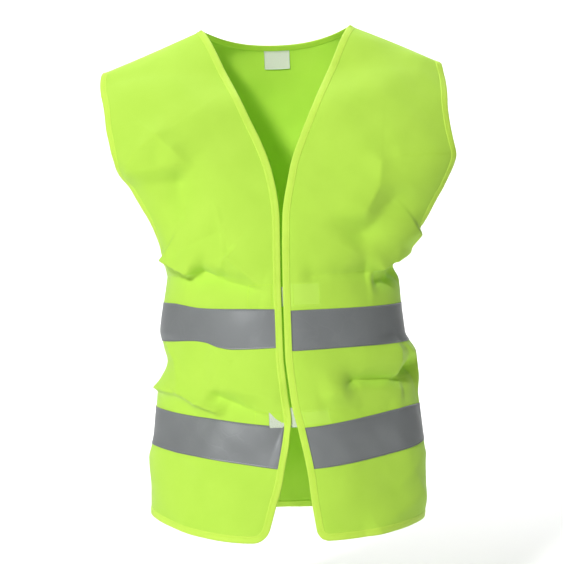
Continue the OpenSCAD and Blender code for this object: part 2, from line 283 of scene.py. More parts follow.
class Drape:
    """The worn surface of one cut of cloth: u runs across it and v down its rows."""

    nudge = 0.01
    blur = 6.0
    shoulder_lean = (1, 1.25, 0.45)
    side_fade = (0.24, 0.04)
    shoulder_fade = 0.3
    closure_hold = 0.85
    ripple_height = 0.8 * MM

    def __init__(self, part: Part) -> None:
        """Reads the pattern of one part.

        Args:
            part: the cut of cloth.
        """
        self.part = part
        rows = BACK_ROWS if part is Part.BACK else FRONT_ROWS
        fields = ("inner", "inner_handle", "outer", "outer_handle")
        self.table = [np.array([getattr(r, f) for r in rows]) * MM for f in fields]
        self.turn = 1 if part is Part.LEFT else -1

    def rows(self, u: np.ndarray, v: np.ndarray) -> np.ndarray:
        """Returns the pattern's surface: a Bezier cubic across, with ends that run down.

        Args:
            u: across the cloth, 0 to 1, or from -1 on the back.
            v: down the cloth, 0 at the shoulder and HEM_ROW at the hem.

        Returns:
            Points, in metres.
        """
        inner, inner_handle, outer, outer_handle = self.table
        a = through(inner, v)
        d = through(outer, v, UNDERARM_ROW)
        return cubic(a, a + through(inner_handle, v), d - through(outer_handle, v), d, u)

    def top(self, u: np.ndarray) -> np.ndarray:
        """Returns the back's upper edge: half of the neckline, then the shoulder.

        Args:
            u: across the half back, 0 at its middle and 1 at the armhole.

        Returns:
            Points, in metres.
        """
        first = self.table[0][0], self.table[1][0], self.table[2][0]
        neck = cubic(
            first[0], first[0] + first[1], NECK_POINT - NECK_HANDLE, NECK_POINT,
            np.clip(u / NECK_SHARE, 0, 1),
        )
        share = ((u - NECK_SHARE) / (1 - NECK_SHARE))[..., None]
        return np.where(share < 0, neck, NECK_POINT + (first[2] - NECK_POINT) * share)

    def flat(self, u: np.ndarray, v: np.ndarray) -> np.ndarray:
        """Returns the surface without folds.

        Args:
            u: across, 0 at the front edge or the middle of the back, 1 at the side.
                On the back it runs from -1 to 1.
            v: down, 0 at the shoulder and HEM_ROW at the hem.

        Returns:
            Points, in metres.
        """
        u, v = np.broadcast_arrays(np.asarray(u, float), np.asarray(v, float))
        if self.part is Part.BACK:
            w = np.abs(u)
            low = self.rows(w, np.maximum(v, 1))
            slope = (self.rows(w, np.full_like(v, 1 + self.nudge)) - self.rows(w, np.full_like(v, 1.0)))
            slope = slope / self.nudge
            top = self.top(w)
            over = self.shoulder(top, low)
            high = cubic(top, top + over, low - slope / 3, low, v)
            p = np.where((v < 1)[..., None], high, low)
            p[..., 0] *= np.where(u < 0, -1, 1)
            return p
        p = self.rows(u, v)
        first = self.rows(u, np.zeros_like(v))
        second = self.rows(u, np.ones_like(v))
        slope = (self.rows(u, np.full_like(v, 1 + self.nudge)) - second) / self.nudge
        over = self.shoulder(first, second)
        high = cubic(first, first + over, second - slope / 3, second, v)
        p = np.where((v < 1)[..., None], high, p)
        edge = self.rows(np.zeros_like(u), v)
        hem = self.rows(u, np.full_like(v, HEM_ROW))
        far = np.linalg.norm(p - edge, axis=-1)
        rise = np.linalg.norm(hem - p, axis=-1)
        radius = CORNER_RADIUS[self.part]
        f = np.maximum(0, 1 - far / radius) * np.maximum(0, 1 - rise / radius)
        pull = radius / 4 * f * f
        p[..., 0] += pull
        p[..., 2] += pull
        if self.part is Part.RIGHT:
            p[..., 0] *= -1
        return p

    def shoulder(self, top: np.ndarray, low: np.ndarray) -> np.ndarray:
        """Returns the way the cloth leaves the shoulder seam: level first, so it is round."""
        return (low - top) / 3 * np.array(self.shoulder_lean)

    def flat_out(self, u: np.ndarray, v: np.ndarray) -> np.ndarray:
        """Returns the direction out of the cloth, away from the wearer, without folds.

        Args:
            u: across the cloth, 0 to 1, or from -1 on the back.
            v: down the cloth, 0 at the shoulder and HEM_ROW at the hem.

        Returns:
            Unit vectors.
        """
        h = self.nudge
        across = self.flat(u + h, v) - self.flat(u - h, v)
        down = self.flat(u, np.minimum(v + h, HEM_ROW)) - self.flat(u, np.maximum(v - h, 0))
        return unit(np.cross(down, across)) * self.turn

    def fold_height(self, p: np.ndarray) -> np.ndarray:
        """Returns how far the folds lift the cloth at points of the flat surface.

        Each stretch of a fold's line gives rise times exp(-(gap - crest) / reach), faded
        along the line, where gap is the distance from the stretch rounded off by the
        crest: the root of distance^2 plus crest^2. The stretches are averaged with
        weights exp(-distance / blur), so that they run into each other without a crease.

        Args:
            p: points of the flat surface.

        Returns:
            The lift at each point, in metres.
        """
        x, z = p[..., 0] / MM, p[..., 2] / MM
        height = np.zeros_like(x)
        for fold in FOLDS[self.part]:
            line = np.array(fold.line)
            lengths = np.linalg.norm(np.diff(line, axis=0), axis=1)
            starts = np.concatenate([[0], np.cumsum(lengths)])
            lift, weight = np.zeros_like(x), np.zeros_like(x)
            for k, (a, b) in enumerate(zip(line[:-1], line[1:])):
                way = (b - a) / lengths[k]
                along = np.clip((x - a[0]) * way[0] + (z - a[1]) * way[1], 0, lengths[k])
                dx, dz = x - a[0] - way[0] * along, z - a[1] - way[1] * along
                gap = np.hypot(dx, dz)
                share = np.exp(-gap / self.blur)
                turn = ease(0.5 + (way[0] * dz - way[1] * dx) / (2 * fold.crest))
                reach = fold.right + (fold.left - fold.right) * turn
                place = starts[k] + along
                fade = ease(place / fold.ends[0]) * ease((starts[-1] - place) / fold.ends[1])
                lift += share * fade * np.exp(-(np.hypot(gap, fold.crest) - fold.crest) / reach)
                weight += share
            height += fold.rise * lift / weight
        return height * MM

    def ripple(self, p: np.ndarray) -> np.ndarray:
        """Returns a small unevenness all over: a sum of slow sine waves in x and z.

        Args:
            p: points of the flat surface.

        Returns:
            The lift at each point, in metres.
        """
        x, z = p[..., 0], p[..., 2]
        waves = (
            0.6 * np.sin(75 * x + 31 * z + 0.4)
            + 0.6 * np.sin(-44 * x + 92 * z + 1.9)
            + 0.16 * np.sin(160 * x + 118 * z + 4.0 + np.sin(60 * z))
            + 0.05 * np.sin(210 * x - 175 * z + 2.2 + np.sin(70 * x))
        )
        return waves * self.ripple_height

    def place(self, u: np.ndarray, v: np.ndarray) -> np.ndarray:
        """Returns the worn surface: the flat one moved out by folds and in by dents.

        Args:
            u: across the cloth, 0 to 1, or from -1 on the back.
            v: down the cloth, 0 at the shoulder and HEM_ROW at the hem.

        Returns:
            Points, in metres.
        """
        u, v = np.broadcast_arrays(np.asarray(u, float), np.asarray(v, float))
        p = self.flat(u, v)
        out = self.flat_out(u, v)
        below = ease((-p[..., 2] - self.side_fade[0]) / self.side_fade[1])
        fade = 1 - below * (1 - ease(np.abs(p[..., 1]) / FOLD_FADE))
        fade = fade * ease(v / self.shoulder_fade)
        hold = np.zeros_like(fade)
        if self.part is not Part.BACK:
            for z in CLOSURE_HEIGHTS:
                hold += np.exp(
                    -((p[..., 0] / CLOSURE_REACH[0]) ** 2) - ((p[..., 2] - z) / CLOSURE_REACH[1]) ** 2
                )
        held = 1 - self.closure_hold * np.clip(hold, 0, 1)
        lift = (self.fold_height(p) + self.ripple(p)) * fade * held
        return p + out * lift[..., None] + self.shift(p, u)

    def shift(self, p: np.ndarray, u: np.ndarray) -> np.ndarray:
        """Returns how far the worn vest's edges lie from the pattern's.

        A side's shift fades towards the middle as the square of the distance from a line
        SIDE_REACH_IN from the middle. A front edge's fades as (1 - u)^2.

        Args:
            p: points of the flat surface.
            u: across the cloth, 0 to 1, or from -1 on the back.

        Returns:
            How far each point moves, in metres.
        """
        moved = np.zeros_like(p)
        x, z = p[..., 0] / MM, p[..., 2] / MM
        for side, table in SIDE_SHIFTS.items():
            edge, push, lift = self.read(table, z)
            share = np.clip((x * side - SIDE_REACH_IN) / (edge - SIDE_REACH_IN), 0, 1.2) ** 2
            moved[..., 0] += side * push * share * MM
            moved[..., 2] += lift * share * MM
        if self.part in EDGE_SHIFTS:
            _, push, _ = self.read(EDGE_SHIFTS[self.part], z)
            moved[..., 0] += push * np.clip(1 - u, 0, 1) ** 2 * MM
        return moved

    def read(self, table: tuple[Shift, ...], z: np.ndarray) -> np.ndarray:
        """Returns the edge, push and lift of a table at heights, as a smooth line.

        Args:
            table: the shifts, from the top down.
            z: heights, in millimetres.

        Returns:
            Three rows: edge, push and lift at each height.
        """
        heights = -np.array([row.height for row in table])
        values = np.array([(row.edge, row.push, row.lift) for row in table], float)
        v = np.interp(-z, heights, np.arange(len(table)))
        return np.moveaxis(through(values, v), -1, 0)

    def axes(self, u: np.ndarray, v: np.ndarray) -> tuple[np.ndarray, np.ndarray, np.ndarray, np.ndarray]:
        """Returns the worn point and the unit directions across, down and out there.

        Args:
            u: across the cloth, 0 to 1, or from -1 on the back.
            v: down the cloth, 0 at the shoulder and HEM_ROW at the hem.

        Returns:
            Points, then unit vectors across, down and out.
        """
        u, v = np.broadcast_arrays(np.asarray(u, float), np.asarray(v, float))
        h = self.nudge
        across = unit(self.place(u + h, v) - self.place(u - h, v))
        down = unit(self.place(u, np.minimum(v + h, HEM_ROW)) - self.place(u, np.maximum(v - h, 0)))
        out = unit(np.cross(down, across)) * self.turn
        return self.place(u, v), across, down, out


DRAPES = {part: Drape(part) for part in Part}


# ---------------------------------------------------------------- meshes


def add_mesh(
    name: str, vertices: np.ndarray, faces: list[np.ndarray], uv: np.ndarray | None = None
) -> bpy.types.Object:
    """Puts a mesh into the scene.

    Args:
        name: the piece's name.
        vertices: points, one row each.
        faces: arrays of vertex indices, each with one face a row.
        uv: a pair for each vertex, in metres of cloth.

    Returns:
        The new object, at the origin.
    """
    mesh = bpy.data.meshes.new(name)
    loops = np.concatenate([f.ravel() for f in faces]).astype(np.int32)
    totals = np.concatenate([np.full(len(f), f.shape[1]) for f in faces]).astype(np.int32)
    starts = (np.cumsum(totals) - totals).astype(np.int32)
    mesh.vertices.add(len(vertices))
    mesh.vertices.foreach_set("co", np.ascontiguousarray(vertices, np.float32).ravel())
    mesh.loops.add(len(loops))
    mesh.loops.foreach_set("vertex_index", loops)
    mesh.polygons.add(len(totals))
    mesh.polygons.foreach_set("loop_start", starts)
    mesh.polygons.foreach_set("loop_total", totals)
    mesh.polygons.foreach_set("use_smooth", np.ones(len(totals), bool))
    if uv is not None:
        layer = mesh.uv_layers.new(name="cloth")
        layer.data.foreach_set("uv", uv[loops].astype(np.float32).ravel())
    mesh.update(calc_edges=True)
    mesh.validate()
    piece = bpy.data.objects.new(name, mesh)
    bpy.context.scene.collection.objects.link(piece)
    return piece


def grid_faces(rows: int, columns: int, closed: bool = False, flip: bool = False) -> np.ndarray:
    """Returns the quads of a grid of points, numbered row by row.

    Args:
        rows: points down.
        columns: points across.
        closed: whether the last column joins the first.
        flip: whether to turn the faces over.

    Returns:
        One quad a row, as four vertex indices.
    """
    i, j = np.meshgrid(np.arange(rows - 1), np.arange(columns - (0 if closed else 1)), indexing="ij")
    k = (j + 1) % columns
    quads = np.stack([i * columns + j, (i + 1) * columns + j, (i + 1) * columns + k, i * columns + k], -1)
    quads = quads.reshape(-1, 4)
    return quads[:, ::-1] if flip else quads


def shell(name: str, outer: np.ndarray, inner: np.ndarray, uv: np.ndarray, flip: bool) -> bpy.types.Object:
    """Makes a closed thin solid from two grids of points and the rim between them.

    Args:
        name: the piece's name.
        outer: grid of points on the outside, [row, column, xyz].
        inner: the same on the inside.
        uv: metres of cloth at each point of the grid.
        flip: whether the grid runs the other way round, seen from outside.

    Returns:
        The new object.
    """
    rows, columns = outer.shape[:2]
    half = rows * columns
    front = grid_faces(rows, columns, flip=flip)
    back = grid_faces(rows, columns, flip=not flip) + half
    index = np.arange(half).reshape(rows, columns)
    rim = np.concatenate([index[0, ::-1], index[1:, 0], index[-1, 1:], index[-2::-1, -1][:-1]])
    following = np.roll(rim, -1)
    wall = np.stack([rim, rim + half, following + half, following], -1)
    wall = wall if flip else wall[:, ::-1]
    points = np.concatenate([outer.reshape(-1, 3), inner.reshape(-1, 3)])
    both = np.concatenate([uv.reshape(-1, 2), uv.reshape(-1, 2)])
    return add_mesh(name, points, [front, back, wall], both)


def tube(name: str, rings: np.ndarray, uv: np.ndarray, closed_ends: bool = True) -> bpy.types.Object:
    """Makes a solid from rings of points carried along a path.

    Args:
        name: the piece's name.
        rings: [place along, place round, xyz].
        uv: metres of cloth at each point.
        closed_ends: whether to cap the ends, or to join the last ring to the first.

    Returns:
        The new object, facing outward.
    """
    count, sides = rings.shape[:2]
    index = np.arange(count * sides).reshape(count, sides)
    if closed_ends:
        faces = [grid_faces(count, sides, closed=True), index[:1], index[-1:, ::-1]]
    else:
        loop = np.concatenate([index, index[:1]])
        a, b = loop[:-1], loop[1:]
        quads = np.stack([a, b, np.roll(b, -1, 1), np.roll(a, -1, 1)], -1).reshape(-1, 4)
        faces = [quads]
    piece = add_mesh(name, rings.reshape(-1, 3), faces, uv.reshape(-1, 2))
    return face_outward(piece)


def face_outward(piece: bpy.types.Object) -> bpy.types.Object:
    """Turns a closed mesh's faces over if its signed volume is negative.

    Args:
        piece: the object, changed in place.

    Returns:
        The same object.
    """
    mesh = piece.data
    mesh.calc_loop_triangles()
    co = np.empty(len(mesh.vertices) * 3, np.float32)
    mesh.vertices.foreach_get("co", co)
    tri = np.empty(len(mesh.loop_triangles) * 3, np.int32)
    mesh.loop_triangles.foreach_get("vertices", tri)
    a, b, c = co.reshape(-1, 3)[tri.reshape(-1, 3)].transpose(1, 0, 2)
    if np.einsum("ij,ij->i", a, np.cross(b, c)).sum() < 0:
        mesh.flip_normals()
    return piece


def measured(points: np.ndarray) -> np.ndarray:
    """Returns the length run along a path at each of its points."""
    steps = np.linalg.norm(np.diff(points, axis=0), axis=1)
    return np.concatenate([[0], np.cumsum(steps)])


def area_of(piece: bpy.types.Object) -> float:
    """Returns a mesh's surface area.

    Args:
        piece: the object.

    Returns:
        Square metres.
    """
    areas = np.empty(len(piece.data.polygons), np.float32)
    piece.data.polygons.foreach_get("area", areas)
    return float(areas.sum())


@dataclass(frozen=True)
class Track:
    """A path on the cloth, with the directions along it, out of the panel and outward."""

    points: np.ndarray
    along: np.ndarray
    side: np.ndarray
    out: np.ndarray
    loop: bool = False

    def at(self, spacing: float, across: float = 0.0, lift: float = 0.0) -> "Track":
        """Returns the track moved sideways and outward, with evenly spaced points.

        Args:
            spacing: distance between points.
            across: how far to move along the side direction.
            lift: how far to move outward.

        Returns:
            The new track.
        """
        fields = (self.points + self.side * across + self.out * lift, self.along, self.side, self.out)
        if self.loop:
            fields = tuple(np.concatenate([f, f[:1]]) for f in fields)
        run = measured(fields[0])
        wanted = np.linspace(0, run[-1], max(2, int(run[-1] / spacing)), endpoint=not self.loop)
        points, along, side, out = (
            np.stack([np.interp(wanted, run, f[:, k]) for k in range(3)], -1) for f in fields
        )
        return Track(points, unit(along), unit(side), unit(out), self.loop)


def track(
    stretches: list[tuple[Part, np.ndarray, np.ndarray]], loop: bool = False, flip: bool = False
) -> Track:
    """Joins stretches of cloth edge into one track.

    Args:
        stretches: part, u and v of each stretch, in order.
        loop: whether the last point joins the first.
        flip: whether the panel lies on the other side of the walker.

    Returns:
        The track, with its directions.
    """
    points, outs = [], []
    for part, u, v in stretches:
        p, _, _, out = DRAPES[part].axes(u, v)
        points.append(p)
        outs.append(out)
    p, out = np.concatenate(points), np.concatenate(outs)
    if loop:
        along = unit(np.roll(p, -1, 0) - np.roll(p, 1, 0))
    else:
        along = unit(np.gradient(p, axis=0))
    side = unit(np.cross(along, out)) * (-1 if flip else 1)
    return Track(p, along, side, out, loop)


def swept(path: Track, shape: np.ndarray) -> tuple[np.ndarray, np.ndarray]:
    """Carries a cross-section along a track.

    Args:
        path: the track.
        shape: (across, height) pairs, one for each point of the cross-section.

    Returns:
        Rings of points, and the metres of cloth along and across at each.
    """
    rings = (
        path.points[:, None]
        + path.side[:, None] * shape[None, :, :1]
        + path.out[:, None] * shape[None, :, 1:]
    )
    u = np.repeat(measured(path.points)[:, None], len(shape), 1)
    v = np.repeat(shape[None, :, 0], len(path.points), 0)
    return rings, np.stack([u, v], -1)


# ---------------------------------------------------------------- finishes


class Nodes:
    """Builds one node material, a step at a time."""

    def __init__(self, name: str) -> None:
        """Starts a material with a plain Principled shader.

        Args:
            name: the material's name.
        """
        self.material = bpy.data.materials.new(name)
        self.material.use_nodes = True
        self.tree = self.material.node_tree
        self.shader = self.tree.nodes["Principled BSDF"]

    def add(self, kind: str, **settings: object) -> bpy.types.Node:
        """Adds a node and sets its properties, and its inputs where a name is one.

        Args:
            kind: the node's type.
            **settings: properties, or inputs with _ for a space.

        Returns:
            The new node.
        """
        node = self.tree.nodes.new(kind)
        for name, value in settings.items():
            if hasattr(node, name):
                setattr(node, name, value)
            else:
                node.inputs[name.replace("_", " ")].default_value = value
        return node

    def link(self, source: bpy.types.NodeSocket, target: bpy.types.NodeSocket) -> None:
        """Joins two sockets."""
        self.tree.links.new(source, target)

    def sums(self, operation: str, *values: object) -> bpy.types.NodeSocket:
        """Adds a Math node over numbers and sockets and returns its result.

        Args:
            operation: the Math node's operation.
            *values: numbers or sockets, in order.

        Returns:
            The result's socket.
        """
        node = self.add("ShaderNodeMath", operation=operation)
        for socket, value in zip(node.inputs, values):
            if isinstance(value, bpy.types.NodeSocket):
                self.link(value, socket)
            else:
                socket.default_value = value
        return node.outputs[0]

    def noise(
        self, coordinates: bpy.types.NodeSocket, scale: float, detail: float = 2.0
    ) -> bpy.types.NodeSocket:
        """Adds a noise texture and returns its value, about 0.5.

        Args:
            coordinates: where to read it.
            scale: its frequency.
            detail: its octaves.

        Returns:
            The value's socket.
        """
        node = self.add("ShaderNodeTexNoise")
        node.inputs["Scale"].default_value = scale
        node.inputs["Detail"].default_value = detail
        self.link(coordinates, node.inputs["Vector"])
        return node.outputs["Fac"]

    def place(self, source: str) -> bpy.types.NodeSocket:
        """Returns coordinates: Object, or UV in metres of cloth."""
        return self.add("ShaderNodeTexCoord").outputs[source]

    def blend_colours(self, amount: bpy.types.NodeSocket, low: Triple, high: Triple) -> bpy.types.NodeSocket:
        """Returns a colour between two, by an amount from 0 to 1.

        Args:
            amount: the share of the second colour.
            low: the colour at 0.
            high: the colour at 1.

        Returns:
            The colour's socket.
        """
        node = self.add("ShaderNodeMix", data_type="RGBA")
        self.link(amount, node.inputs[0])
        node.inputs[6].default_value = (*low, 1)
        node.inputs[7].default_value = (*high, 1)
        return node.outputs[2]

    def relief(self, height: bpy.types.NodeSocket, strength: float, distance: float) -> None:
        """Gives the shader a bump from a height.

        Args:
            height: the socket to read.
            strength: how much of it shows.
            distance: its depth, in metres.
        """
        node = self.add("ShaderNodeBump")
        node.inputs["Strength"].default_value = strength
        node.inputs["Distance"].default_value = distance
        self.link(height, node.inputs["Height"])
        self.link(node.outputs["Normal"], self.shader.inputs["Normal"])

    def set(self, **values: object) -> None:
        """Sets constant values on the shader's own sockets."""
        for name, value in values.items():
            self.shader.inputs[name.replace("_", " ")].default_value = value


@dataclass(frozen=True)
class KnitFinish:
    """Fluorescent warp-knitted cloth: columns of small chevron loops, given a painted glow."""

    name: str
    bright: Triple
    deep: Triple
    painted_glow: Triple
    painted_glow_strength: float
    backed: Triple = (0.575, 0.89, 0.115)
    wale: float = 1.1 * MM
    course: float = 0.9 * MM

    def build(self) -> bpy.types.Material:
        """Returns the material.

        The loop height is |sin| across each column times a sine down it whose phase
        leans with the distance from the column's middle, which draws the chevrons. The
        base colour takes that height as well as a random mottle, so it is darker in the
        hollows between and along the loops: painted shade.

        Returns:
            The material.
        """
        n = Nodes(self.name)
        uv = n.add("ShaderNodeSeparateXYZ")
        n.link(n.place("UV"), uv.inputs[0])
        x = n.sums("DIVIDE", uv.outputs[0], self.wale)
        y = n.sums("DIVIDE", uv.outputs[1], self.course)
        lean = n.sums("PINGPONG", x, 0.5)
        phase = n.sums("ADD", y, n.sums("MULTIPLY", lean, 1.2))
        loops = n.sums("SINE", n.sums("MULTIPLY", phase, 2 * math.pi))
        column = n.sums("ABSOLUTE", n.sums("SINE", n.sums("MULTIPLY", x, math.pi)))
        height = n.sums("MULTIPLY", column, n.sums("MULTIPLY_ADD", loops, 0.35, 0.65))
        place = n.place("Object")
        uneven = n.noise(place, 26, 3)
        fine = n.noise(place, 900, 2)
        mixed = n.sums("MULTIPLY_ADD", uneven, 0.7, n.sums("MULTIPLY", fine, 0.25))
        # The loop height goes into the colour: painted shade, darker in the knit's hollows, over the random
        # mottle.
        depth = n.sums("MULTIPLY_ADD", height, 0.28, mixed)
        shade = n.sums("SUBTRACT", depth, 0.18)
        plain = n.blend_colours(n.sums("MINIMUM", shade, 1.0), self.deep, self.bright)
        backed = n.add("ShaderNodeMix", data_type="RGBA")
        backed.inputs[7].default_value = (*self.backed, 1)
        n.link(n.add("ShaderNodeAttribute", attribute_name="backing").outputs["Fac"], backed.inputs[0])
        n.link(plain, backed.inputs[6])
        n.link(backed.outputs[2], n.shader.inputs["Base Color"])
        n.set(Roughness=0.78, Sheen_Weight=0.25, Sheen_Roughness=0.4, Specular_IOR_Level=0.25)
        # Emission in the glow colour: a painted glow, so the cloth gives off light of its own though it is no
        # lamp.
        n.set(Emission_Color=(*self.painted_glow, 1), Emission_Strength=self.painted_glow_strength)
        total = n.sums("MULTIPLY_ADD", n.noise(place, 160, 3), 0.9, height)
        n.relief(total, 0.35, 0.25 * MM)
        return n.material


@dataclass(frozen=True)
class BindingFinish:
    """Woven edge binding with fine ribs across it."""

    name: str
    bright: Triple
    deep: Triple
    painted_glow: Triple
    painted_glow_strength: float
    rib: float = 0.7 * MM

    def build(self) -> bpy.types.Material:
        """Returns the material: ribs are a sine along the strip, with a slow mottle.
        The weave goes into the colour as it goes into the bump, so the hollows between
        the threads are darker: painted shade.

        Returns:
            The material.
        """
        n = Nodes(self.name)
        uv = n.add("ShaderNodeSeparateXYZ")
        n.link(n.place("UV"), uv.inputs[0])
        ribs = n.sums("SINE", n.sums("MULTIPLY", uv.outputs[0], 2 * math.pi / self.rib))
        threads = n.sums("SINE", n.sums("MULTIPLY", uv.outputs[1], 2 * math.pi / self.rib))
        weave = n.sums("MULTIPLY", ribs, threads)
        place = n.place("Object")
        mottle = n.noise(place, 70, 3)
        # The weave goes into the colour: painted shade in its hollows, over the mottle.
        shade = n.sums("MULTIPLY_ADD", weave, 0.12, mottle)
        n.link(n.blend_colours(shade, self.deep, self.bright), n.shader.inputs["Base Color"])
        n.set(Roughness=0.6, Sheen_Weight=0.2, Sheen_Roughness=0.35, Specular_IOR_Level=0.35)
        # Emission in the glow colour: a painted glow on the binding.
        n.set(Emission_Color=(*self.painted_glow, 1), Emission_Strength=self.painted_glow_strength)
        n.relief(n.sums("MULTIPLY_ADD", n.noise(place, 300, 2), 1.2, weave), 0.3, 0.2 * MM)
        return n.material


@dataclass(frozen=True)
class TapeFinish:
    """Glass-bead reflective tape: a soft grey with a fine sparkle and pressed creases."""

    name: str = "reflective_tape"
    bright: Triple = (0.29, 0.305, 0.31)
    deep: Triple = (0.215, 0.227, 0.233)

    def build(self) -> bpy.types.Material:
        """Returns the material: slow mottle, fine beads and a few fine creases.

        Returns:
            The material.
        """
        n = Nodes(self.name)
        place = n.place("Object")
        slow = n.noise(place, 14, 3)
        fine = n.noise(place, 1500, 1)
        crease = n.add("ShaderNodeTexVoronoi", feature="DISTANCE_TO_EDGE")
        crease.inputs["Scale"].default_value = 34
        warp = n.add("ShaderNodeVectorMath", operation="MULTIPLY_ADD")
        wobble = n.add("ShaderNodeTexNoise")
        wobble.inputs["Scale"].default_value = 24
        n.link(place, wobble.inputs["Vector"])
        n.link(wobble.outputs["Color"], warp.inputs[0])
        warp.inputs[1].default_value = (0.05, 0.05, 0.05)
        n.link(place, warp.inputs[2])
        n.link(warp.outputs[0], crease.inputs["Vector"])
        gap = n.sums("MINIMUM", n.sums("MULTIPLY", crease.outputs["Distance"], 14), 1.0)
        line = n.sums("SUBTRACT", 1.0, gap)
        line = n.sums("MULTIPLY", line, n.sums("GREATER_THAN", n.noise(place, 11, 1), 0.53))
        shade = n.sums("MULTIPLY_ADD", fine, 0.3, n.sums("MULTIPLY_ADD", slow, 0.8, -0.1))
        shade = n.sums("MULTIPLY_ADD", line, 0.1, shade)
        n.link(n.blend_colours(shade, self.deep, self.bright), n.shader.inputs["Base Color"])
        n.set(Roughness=0.48, Metallic=0.25, Specular_IOR_Level=0.4)
        height = n.sums("MULTIPLY_ADD", line, -1.2, n.noise(place, 1100, 1))
        n.relief(height, 0.25, 0.15 * MM)
        return n.material


@dataclass(frozen=True)
class PlushFinish:
    """Hook tape or loop tape: a dense nap of small bumps."""

    name: str
    bright: Triple
    deep: Triple
    grain: float
    strength: float

    def build(self) -> bpy.types.Material:
        """Returns the material: round cells for the hooks or loops, with a soft mottle.
        The colour follows each cell's dome as the bump does, darker at the cell's border:
        painted shade between the hooks or loops.

        Returns:
            The material.
        """
        n = Nodes(self.name)
        place = n.place("Object")
        cells = n.add("ShaderNodeTexVoronoi", feature="F1")
        cells.inputs["Scale"].default_value = 1 / self.grain
        n.link(place, cells.inputs["Vector"])
        dome = n.sums("SUBTRACT", 1.0, cells.outputs["Distance"])
        # Colour from the dome: painted shade, darker between the hooks or loops, times a mottle.
        shade = n.sums("MULTIPLY", dome, n.sums("MULTIPLY_ADD", n.noise(place, 120, 3), 0.8, 0.5))
        n.link(n.blend_colours(shade, self.deep, self.bright), n.shader.inputs["Base Color"])
        n.set(Roughness=0.85, Sheen_Weight=0.3, Specular_IOR_Level=0.2)
        n.relief(dome, self.strength, 0.5 * MM)
        return n.material


@dataclass(frozen=True)
class PlainFinish:
    """Thread, label cloth or studio card: one colour with a slight mottle."""

    name: str
    bright: Triple
    deep: Triple
    roughness: float = 0.7
    scale: float = 200
    painted_glow_strength: float = 0.0

    def build(self) -> bpy.types.Material:
        """Returns the material: a noise between two near colours, and a faint bump.

        Returns:
            The material.
        """
        n = Nodes(self.name)
        grain = n.noise(n.place("Object"), self.scale, 3)
        n.link(n.blend_colours(grain, self.deep, self.bright), n.shader.inputs["Base Color"])
        n.set(Roughness=self.roughness, Specular_IOR_Level=0.25)
        # Emission in the bright colour at the glow strength: a painted glow wherever that strength is above
        # zero, as on the sewing thread.
        n.set(Emission_Color=(*self.bright, 1), Emission_Strength=self.painted_glow_strength)
        n.relief(grain, 0.15, 0.1 * MM)
        return n.material


class Wardrobe:
    """All the finishes, each built once."""

    def __init__(self) -> None:
        """Builds every material."""
        # Emission colour of the fluorescent cloth and binding: a painted glow.
        painted_glow = (0.42, 1.0, 0.02)
        self.knit = KnitFinish("fluorescent_knit", (0.57, 0.87, 0.1), (0.48, 0.79, 0.072), painted_glow, 0.04).build()
        self.binding = BindingFinish(
            "edge_binding", (0.66, 0.93, 0.11), (0.58, 0.87, 0.085), painted_glow, 0.04
        ).build()
        self.tape = TapeFinish().build()
        self.hook = PlushFinish("hook_tape", (0.80, 0.86, 0.74), (0.58, 0.66, 0.50), 1.3 * MM, 0.6).build()
        self.loop = PlushFinish("loop_tape", (0.74, 0.90, 0.30), (0.58, 0.78, 0.16), 0.8 * MM, 0.4).build()
        # The sewing thread's last number is the strength of its painted glow.
        self.thread = PlainFinish(
            "sewing_thread", (0.66, 0.95, 0.08), (0.52, 0.84, 0.05), 0.55, 900, 0.06
        ).build()
        self.grey_thread = PlainFinish(
            "tape_thread", (0.34, 0.36, 0.37), (0.24, 0.26, 0.27), 0.5, 900
        ).build()
        self.label = PlainFinish(
            "label_cloth", (0.90, 0.90, 0.87), (0.80, 0.80, 0.77), 0.65, 1400
        ).build()
        self.card = PlainFinish(
            "studio_card", (0.90, 0.90, 0.90), (0.885, 0.885, 0.885), 0.9, 3
        ).build()


# ---------------------------------------------------------------- riding


class Rider:
    """Puts each piece sewn to the back under the root body; other pieces keep their place with no body."""

    bend_width = 88 * MM
    neck_side = np.array((95, 0, 0)) * MM
    hem_side = np.array((181, 0, -634)) * MM

    def attach(self, piece: bpy.types.Object, part: Part, nodes: tuple[str, ...]) -> None:
        """Puts a piece with its body, and hides the frame's nodes that it stands for.

        A piece sewn to the back goes under the root body. A piece sewn to a front has its
        placement baked into its mesh and is given no body, so it neither turns nor bends.

        Args:
            piece: the piece.
            part: the cut that it is sewn to.
            nodes: the frame's nodes that it stands for.
        """
        if part is Part.BACK:
            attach(piece, "root")
        else:
            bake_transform(piece)
        if nodes:
            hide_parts(*nodes)
        LOG.info("%s: sewn to the %s", piece.name, part.value)


RIDER = Rider()


def dress(piece: bpy.types.Object, material: bpy.types.Material) -> bpy.types.Object:
    """Gives a piece its one material.

    Args:
        piece: the object.
        material: its material.

    Returns:
        The same object.
    """
    piece.data.materials.clear()
    piece.data.materials.append(material)
    return piece


# ---------------------------------------------------------------- pieces


PANEL_GRID = {Part.BACK: (170, 280), Part.LEFT: (110, 420), Part.RIGHT: (110, 420)}
PATCH_ROWS = ((6.1, 6.5), (8.0, 8.27))
PATCH_SHARE = 0.195


